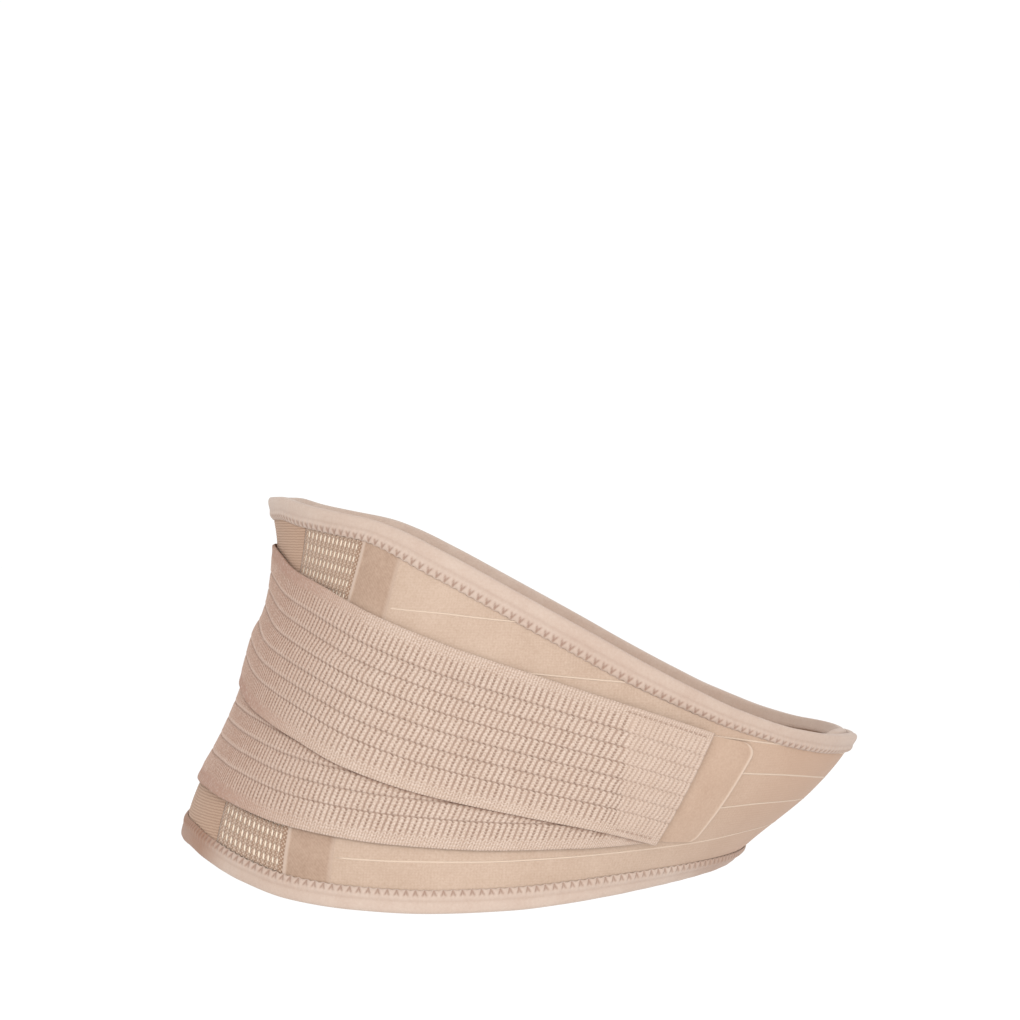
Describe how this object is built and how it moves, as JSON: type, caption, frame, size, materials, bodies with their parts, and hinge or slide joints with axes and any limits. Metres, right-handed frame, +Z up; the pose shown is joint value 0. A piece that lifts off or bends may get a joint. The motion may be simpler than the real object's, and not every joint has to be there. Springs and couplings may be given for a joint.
{
  "type": "maternity support belt",
  "caption": "Wrap-round maternity support belt in its worn round form: high at the back, low and cupped in front, with net side panels and crossing elastic straps.",
  "frame": {"origin": "middle of the hollow that the torso fills, at half the height of the back", "axes": "+Z up along the torso, +X to the wearer's front, -Y to the wearer's right side"},
  "size_m": [0.4195, 0.3912, 0.2377],
  "materials": {
    "rib_elastic": "fine horizontal ribs, matte",
    "net": "openwork net with small upright eyelets, matte",
    "casing_tape": "smooth tape with rolled edges, soft sheen",
    "panel_knit": "fine smooth knit, matte",
    "edging": "soft plush edging with a looped inner edge",
    "strap_elastic": "woven elastic with lengthwise grooves and crosswise ribs, matte",
    "tab_knit": "smooth brushed cloth, matte",
    "closure_tape": "brushed fastening tape, matte"
  },
  "bodies": {
    "root": {"back_panel": "rib_elastic", "mesh_panel_right": "net", "mesh_panel_left": "net", "stay_casing_right": "casing_tape", "stay_casing_left": "casing_tape", "front_panel_right": "panel_knit", "front_panel_left": "panel_knit", "top_binding": "edging", "bottom_binding": "edging", "upper_strap": "strap_elastic", "lower_strap": "strap_elastic", "strap_tab_right": "tab_knit", "strap_tab_left": "tab_knit", "closure_pad": "closure_tape"}
  },
  "joints": []
}
